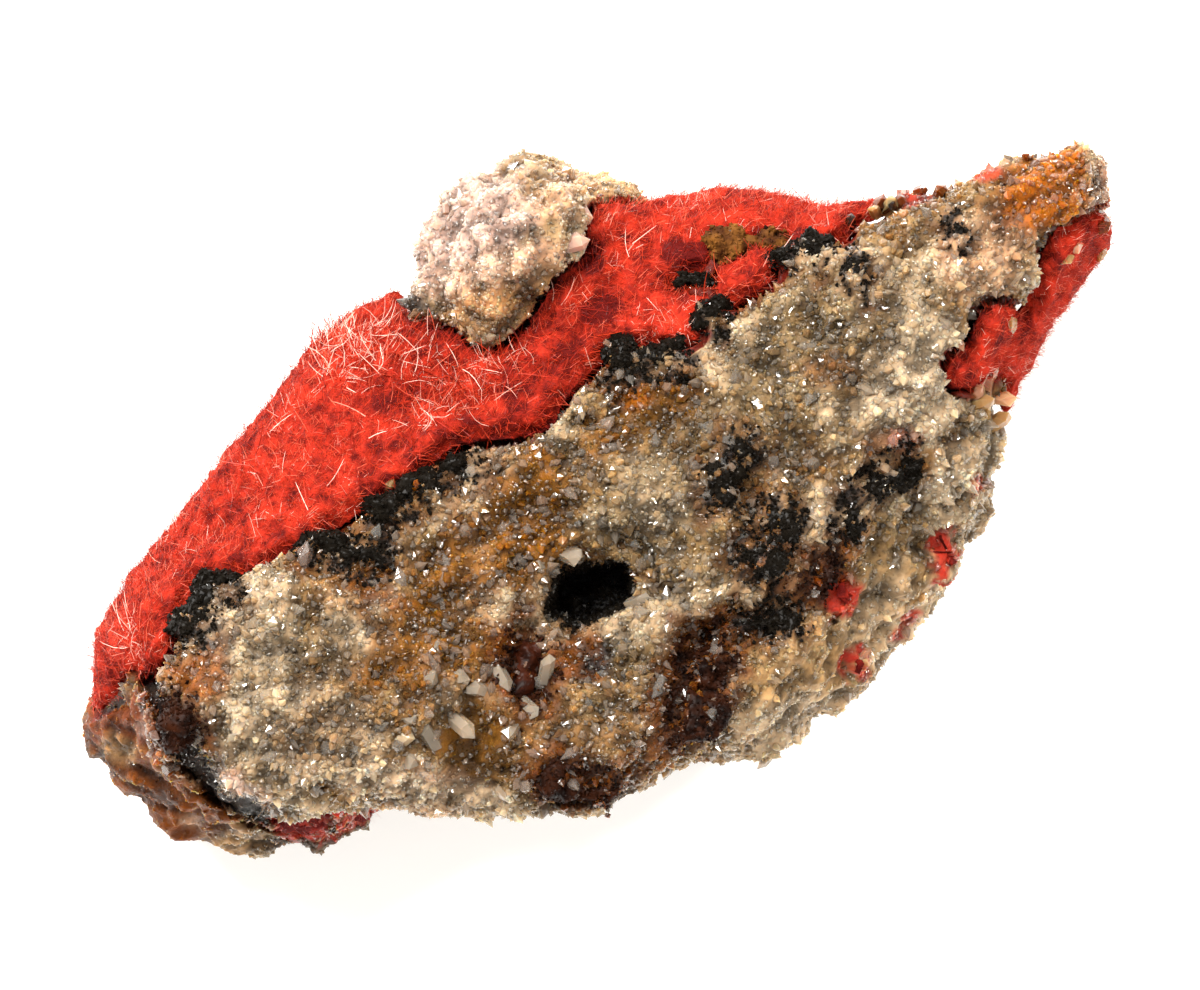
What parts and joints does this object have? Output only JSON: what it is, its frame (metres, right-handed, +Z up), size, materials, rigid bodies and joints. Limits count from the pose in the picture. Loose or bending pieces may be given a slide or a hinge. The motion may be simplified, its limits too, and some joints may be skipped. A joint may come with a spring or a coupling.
{
  "type": "chalcotrichite on quartz specimen",
  "caption": "Palm-size mineral specimen: a flattish wedge of crystal-coated quartz with a felt of red copper-oxide hairs along one edge and black and brown grains in its pockets.",
  "frame": {"origin": "middle of the bounding box, on the surface that the specimen rests on", "axes": "+Z up, out of the broad crystal face; +X along the long side, from the rounded foot to the pointed tip; +Y across, from the crystal face's lower rim to the knob"},
  "size_m": [0.0386, 0.0268, 0.0142],
  "materials": {
    "quartz": "glossy translucent crystal points with ochre iron stains",
    "chalcotrichite": "silky felt of hair-fine crystals",
    "tenorite": "sparkling black crystals, sub-metallic",
    "goethite": "satin brown crust"
  },
  "bodies": {
    "root": {"quartz_matrix": "quartz", "chalcotrichite_main_felt": "chalcotrichite", "chalcotrichite_right_vein": "chalcotrichite", "chalcotrichite_foot_tuft": "chalcotrichite", "tenorite_left_seam": "tenorite", "tenorite_contact_left": "tenorite", "tenorite_contact_middle": "tenorite", "tenorite_contact_right": "tenorite", "tenorite_step": "tenorite", "tenorite_in_felt": "tenorite", "tenorite_crest": "tenorite", "tenorite_upper_face": "tenorite", "tenorite_near_tip": "tenorite", "tenorite_face_upper": "tenorite", "tenorite_face_middle": "tenorite", "tenorite_face_right": "tenorite", "tenorite_face_grain": "tenorite", "tenorite_crease": "tenorite", "tenorite_vug_lining": "tenorite", "goethite_crust": "goethite", "goethite_lower_edge": "goethite", "goethite_pocket": "goethite", "goethite_left_edge": "goethite", "goethite_in_felt": "goethite", "goethite_flank": "goethite", "chalcotrichite_flank_tuft": "chalcotrichite", "chalcotrichite_edge_tuft": "chalcotrichite", "chalcotrichite_low_tuft": "chalcotrichite"}
  },
  "joints": []
}
